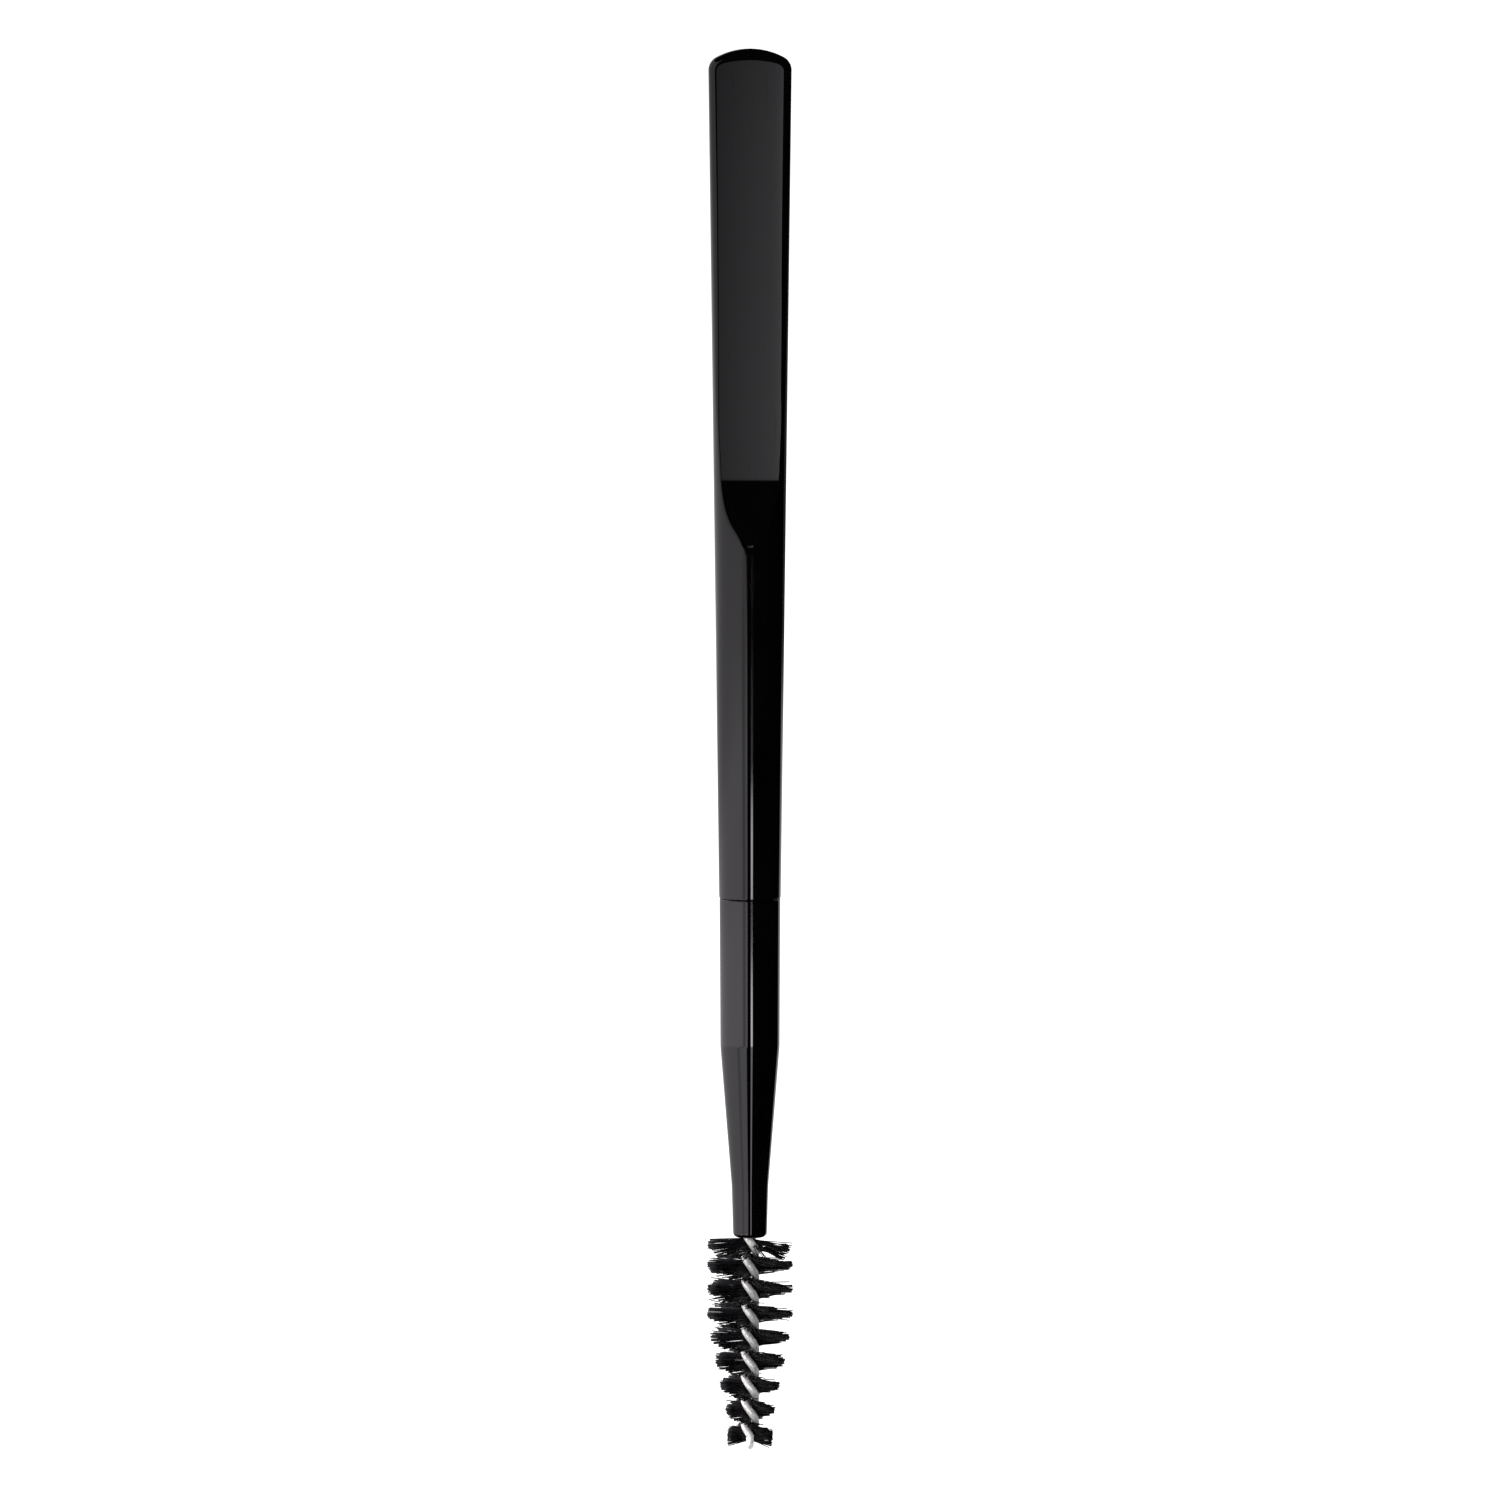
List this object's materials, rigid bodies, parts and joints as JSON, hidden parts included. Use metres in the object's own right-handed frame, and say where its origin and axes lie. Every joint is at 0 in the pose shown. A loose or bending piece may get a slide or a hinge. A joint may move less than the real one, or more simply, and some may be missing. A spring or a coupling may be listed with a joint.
{
  "type": "brow and lash applicator",
  "caption": "Slim gloss-black brow and lash applicator with a flat scoop at the top and a tapered twisted-wire spoolie in a push-fit holder at the bottom.",
  "frame": {"origin": "centre of the seam between the round handle and the brush holder, on the tool's long axis", "axes": "+Z along the tool towards the scoop, -Y out of the scoop's flat face, +X to the right seen from that face"},
  "size_m": [0.0102, 0.0102, 0.1652],
  "materials": {
    "handle_plastic": "piano-black polished moulding",
    "holder_plastic": "piano-black polished moulding",
    "steel_wire": "drawn bright wire, lightly speckled",
    "nylon_bristle": "semi-gloss black nylon filament"
  },
  "bodies": {
    "handle": {"handle": "handle_plastic"},
    "head": {"holder": "holder_plastic", "wire_core": "steel_wire", "bristle_row_1": "nylon_bristle", "bristle_row_2": "nylon_bristle", "bristle_row_3": "nylon_bristle", "bristle_row_4": "nylon_bristle", "bristle_row_5": "nylon_bristle", "bristle_row_6": "nylon_bristle", "bristle_row_7": "nylon_bristle", "bristle_row_8": "nylon_bristle", "bristle_row_9": "nylon_bristle"}
  },
  "joints": [
    {"name": "head_pull", "type": "slide", "parent": "handle", "child": "head", "axis": [0, 0, -1], "range_m": [0, 0.014]}
  ]
}
